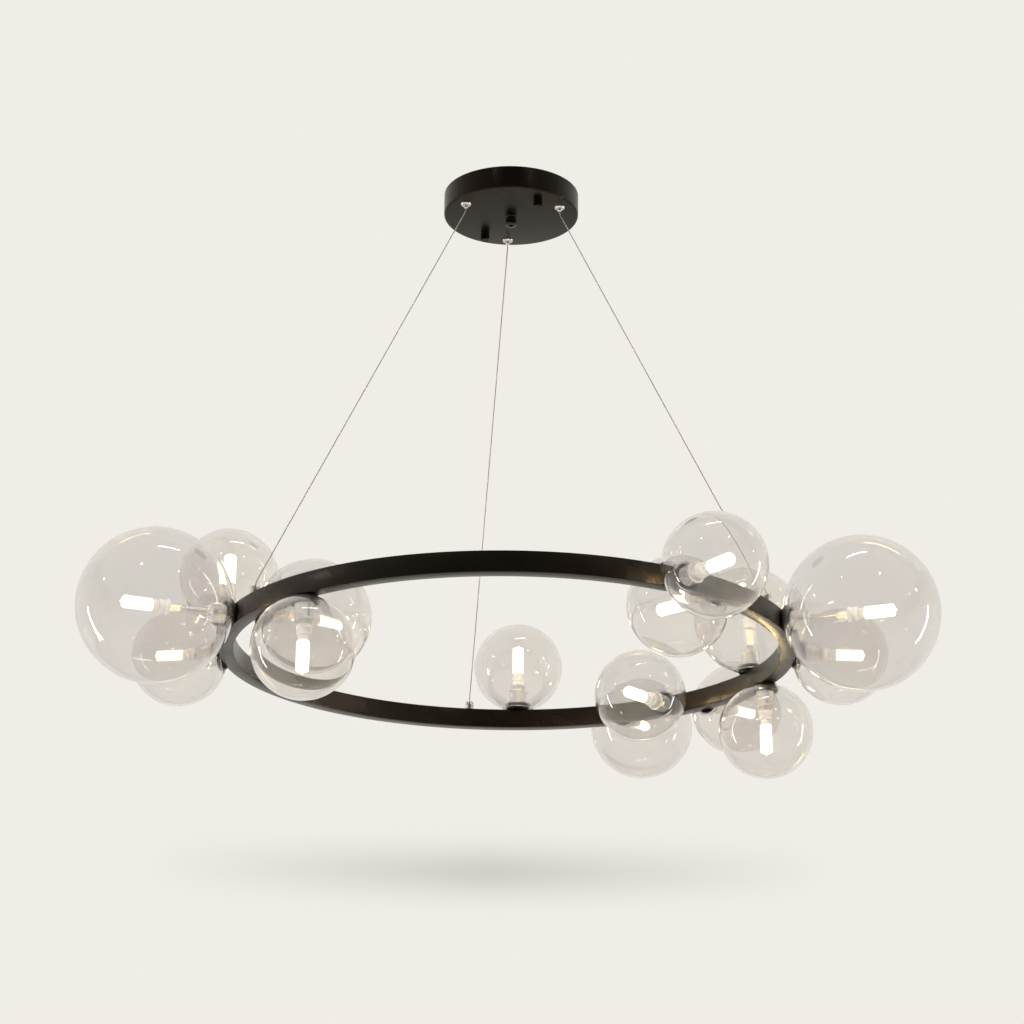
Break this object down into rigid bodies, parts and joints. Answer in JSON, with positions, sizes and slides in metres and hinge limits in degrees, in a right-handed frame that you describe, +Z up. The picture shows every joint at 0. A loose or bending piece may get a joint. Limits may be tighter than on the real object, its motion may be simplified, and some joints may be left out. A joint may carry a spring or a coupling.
{
  "type": "orb chandelier",
  "caption": "Ring chandelier on slanting steel wires: clear glass globes with capsule lamps on the top, underside, outer and inner faces of a black box-tube ring, under a round ceiling canopy.",
  "frame": {"origin": "on the ceiling plane, midway between the mounting bar's two ceiling screw holes, on the axis of the canopy and the ring", "axes": "+Z up into the ceiling, +Y away from the picture's viewer, +X to the viewer's right"},
  "size_m": [1.0946, 0.9258, 0.8136],
  "materials": {
    "black_paint": "satin",
    "nickel": "polished",
    "zinc_steel": "plain",
    "steel_wire": "stranded",
    "black_plastic": "gloss",
    "white_plastic": "matte",
    "loom_sleeve": "matte",
    "porcelain": "glazed",
    "bulb_glass": "frosted, lit",
    "clear_glass": "clear"
  },
  "bodies": {
    "frame": {"canopy_cup": "black_paint", "mounting_bar": "zinc_steel", "bar_studs": "zinc_steel", "cord_gland": "black_plastic", "gland_nut": "black_plastic", "terminal_block": "white_plastic", "wire_grippers": "nickel", "gripper_nuts": "zinc_steel", "suspension_wire_1": "steel_wire", "suspension_wire_2": "steel_wire", "suspension_wire_3": "steel_wire", "ring_posts": "nickel", "post_nuts": "zinc_steel", "ring_frame": "black_paint", "ring_loom": "loom_sleeve", "lamp_cups": "black_paint", "lamp_collars": "nickel", "lamp_tubes": "zinc_steel", "lamp_stems": "nickel", "tube_nuts": "zinc_steel", "lampholders": "porcelain"},
    "globe_1_body": {"globe_1": "clear_glass"},
    "bulb_1_body": {"bulb_1": "bulb_glass"},
    "globe_2_body": {"globe_2": "clear_glass"},
    "bulb_2_body": {"bulb_2": "bulb_glass"},
    "globe_3_body": {"globe_3": "clear_glass"},
    "bulb_3_body": {"bulb_3": "bulb_glass"},
    "globe_4_body": {"globe_4": "clear_glass"},
    "bulb_4_body": {"bulb_4": "bulb_glass"},
    "globe_5_body": {"globe_5": "clear_glass"},
    "bulb_5_body": {"bulb_5": "bulb_glass"},
    "globe_6_body": {"globe_6": "clear_glass"},
    "bulb_6_body": {"bulb_6": "bulb_glass"},
    "globe_7_body": {"globe_7": "clear_glass"},
    "bulb_7_body": {"bulb_7": "bulb_glass"},
    "globe_8_body": {"globe_8": "clear_glass"},
    "bulb_8_body": {"bulb_8": "bulb_glass"},
    "globe_9_body": {"globe_9": "clear_glass"},
    "bulb_9_body": {"bulb_9": "bulb_glass"},
    "globe_10_body": {"globe_10": "clear_glass"},
    "bulb_10_body": {"bulb_10": "bulb_glass"},
    "globe_11_body": {"globe_11": "clear_glass"},
    "bulb_11_body": {"bulb_11": "bulb_glass"},
    "globe_12_body": {"globe_12": "clear_glass"},
    "bulb_12_body": {"bulb_12": "bulb_glass"},
    "globe_13_body": {"globe_13": "clear_glass"},
    "bulb_13_body": {"bulb_13": "bulb_glass"},
    "globe_14_body": {"globe_14": "clear_glass"},
    "bulb_14_body": {"bulb_14": "bulb_glass"},
    "globe_15_body": {"globe_15": "clear_glass"},
    "bulb_15_body": {"bulb_15": "bulb_glass"},
    "nose_1_body": {"gripper_nose_1": "nickel"},
    "nose_2_body": {"gripper_nose_2": "nickel"},
    "nose_3_body": {"gripper_nose_3": "nickel"},
    "cap_nut_1_body": {"cap_nut_1": "black_paint"},
    "cap_nut_2_body": {"cap_nut_2": "black_paint"}
  },
  "joints": [
    {"name": "globe_1_turn", "type": "hinge", "parent": "frame", "child": "globe_1_body", "pos_m": [0.38214, 0.01668, -0.6695], "axis": [0.999, 0.0436, 0], "continuous": true},
    {"name": "bulb_1_pull", "type": "slide", "parent": "frame", "child": "bulb_1_body", "axis": [0.999, 0.0436, 0], "range_m": [0, 0.0075]},
    {"name": "globe_2_turn", "type": "hinge", "parent": "frame", "child": "globe_2_body", "pos_m": [0.35474, 0.11526, -0.683], "axis": [0, 0, -1], "continuous": true},
    {"name": "bulb_2_pull", "type": "slide", "parent": "frame", "child": "bulb_2_body", "axis": [0, 0, -1], "range_m": [0, 0.0075]},
    {"name": "globe_3_turn", "type": "hinge", "parent": "frame", "child": "globe_3_body", "pos_m": [0.33942, 0.15468, -0.656], "axis": [0, 0, 1], "continuous": true},
    {"name": "bulb_3_pull", "type": "slide", "parent": "frame", "child": "bulb_3_body", "axis": [0, 0, 1], "range_m": [0, 0.0075]},
    {"name": "globe_4_turn", "type": "hinge", "parent": "frame", "child": "globe_4_body", "pos_m": [0.28425, 0.25594, -0.6695], "axis": [0.7431, 0.6691, 0], "continuous": true},
    {"name": "bulb_4_pull", "type": "slide", "parent": "frame", "child": "bulb_4_body", "axis": [0.7431, 0.6691, 0], "range_m": [0, 0.0075]},
    {"name": "globe_5_turn", "type": "hinge", "parent": "frame", "child": "globe_5_body", "pos_m": [0.23121, 0.28049, -0.6695], "axis": [-0.6361, -0.7716, 0], "continuous": true},
    {"name": "bulb_5_pull", "type": "slide", "parent": "frame", "child": "bulb_5_body", "axis": [-0.6361, -0.7716, 0], "range_m": [0, 0.0075]},
    {"name": "globe_6_turn", "type": "hinge", "parent": "frame", "child": "globe_6_body", "pos_m": [0.16768, 0.34379, -0.6695], "axis": [0.4384, 0.8988, 0], "continuous": true},
    {"name": "bulb_6_pull", "type": "slide", "parent": "frame", "child": "bulb_6_body", "axis": [0.4384, 0.8988, 0], "range_m": [0, 0.0075]},
    {"name": "globe_7_turn", "type": "hinge", "parent": "frame", "child": "globe_7_body", "pos_m": [0.01627, 0.37265, -0.656], "axis": [0, 0, 1], "continuous": true},
    {"name": "bulb_7_pull", "type": "slide", "parent": "frame", "child": "bulb_7_body", "axis": [0, 0, 1], "range_m": [0, 0.0075]},
    {"name": "globe_8_turn", "type": "hinge", "parent": "frame", "child": "globe_8_body", "pos_m": [-0.37965, 0.04661, -0.6695], "axis": [-0.9925, 0.1219, 0], "continuous": true},
    {"name": "bulb_8_pull", "type": "slide", "parent": "frame", "child": "bulb_8_body", "axis": [-0.9925, 0.1219, 0], "range_m": [0, 0.0075]},
    {"name": "globe_9_turn", "type": "hinge", "parent": "frame", "child": "globe_9_body", "pos_m": [-0.36841, -0.05835, -0.656], "axis": [0, 0, 1], "continuous": true},
    {"name": "bulb_9_pull", "type": "slide", "parent": "frame", "child": "bulb_9_body", "axis": [0, 0, 1], "range_m": [0, 0.0075]},
    {"name": "globe_10_turn", "type": "hinge", "parent": "frame", "child": "globe_10_body", "pos_m": [-0.35209, -0.14946, -0.6695], "axis": [-0.9205, -0.3907, 0], "continuous": true},
    {"name": "bulb_10_pull", "type": "slide", "parent": "frame", "child": "bulb_10_body", "axis": [-0.9205, -0.3907, 0], "range_m": [0, 0.0075]},
    {"name": "globe_11_turn", "type": "hinge", "parent": "frame", "child": "globe_11_body", "pos_m": [-0.3148, -0.18175, -0.6695], "axis": [0.866, 0.5, 0], "continuous": true},
    {"name": "bulb_11_pull", "type": "slide", "parent": "frame", "child": "bulb_11_body", "axis": [0.866, 0.5, 0], "range_m": [0, 0.0075]},
    {"name": "globe_12_turn", "type": "hinge", "parent": "frame", "child": "globe_12_body", "pos_m": [-0.24959, -0.27719, -0.683], "axis": [0, 0, -1], "continuous": true},
    {"name": "bulb_12_pull", "type": "slide", "parent": "frame", "child": "bulb_12_body", "axis": [0, 0, -1], "range_m": [0, 0.0075]},
    {"name": "globe_13_turn", "type": "hinge", "parent": "frame", "child": "globe_13_body", "pos_m": [0.21112, -0.31896, -0.6695], "axis": [0.5519, -0.8339, 0], "continuous": true},
    {"name": "bulb_13_pull", "type": "slide", "parent": "frame", "child": "bulb_13_body", "axis": [0.5519, -0.8339, 0], "range_m": [0, 0.0075]},
    {"name": "globe_14_turn", "type": "hinge", "parent": "frame", "child": "globe_14_body", "pos_m": [0.26148, -0.25251, -0.6695], "axis": [-0.7193, 0.6947, 0], "continuous": true},
    {"name": "bulb_14_pull", "type": "slide", "parent": "frame", "child": "bulb_14_body", "axis": [-0.7193, 0.6947, 0], "range_m": [0, 0.0075]},
    {"name": "globe_15_turn", "type": "hinge", "parent": "frame", "child": "globe_15_body", "pos_m": [0.35465, -0.14329, -0.6695], "axis": [0.9272, -0.3746, 0], "continuous": true},
    {"name": "bulb_15_pull", "type": "slide", "parent": "frame", "child": "bulb_15_body", "axis": [0.9272, -0.3746, 0], "range_m": [0, 0.0075]},
    {"name": "nose_1_push", "type": "slide", "parent": "frame", "child": "nose_1_body", "axis": [0, 0, 1], "range_m": [0, 0.002], "stiffness_N_per_m": 2000, "springref_m": -0.0005},
    {"name": "nose_2_push", "type": "slide", "parent": "frame", "child": "nose_2_body", "axis": [0, 0, 1], "range_m": [0, 0.002], "stiffness_N_per_m": 2000, "springref_m": -0.0005},
    {"name": "nose_3_push", "type": "slide", "parent": "frame", "child": "nose_3_body", "axis": [0, 0, 1], "range_m": [0, 0.002], "stiffness_N_per_m": 2000, "springref_m": -0.0005},
    {"name": "cap_nut_1_turn", "type": "hinge", "parent": "frame", "child": "cap_nut_1_body", "pos_m": [-0.03719, 0.05513, -0.038], "axis": [0, 0, 1], "continuous": true},
    {"name": "cap_nut_2_turn", "type": "hinge", "parent": "frame", "child": "cap_nut_2_body", "pos_m": [0.03719, -0.05513, -0.038], "axis": [0, 0, 1], "continuous": true}
  ]
}
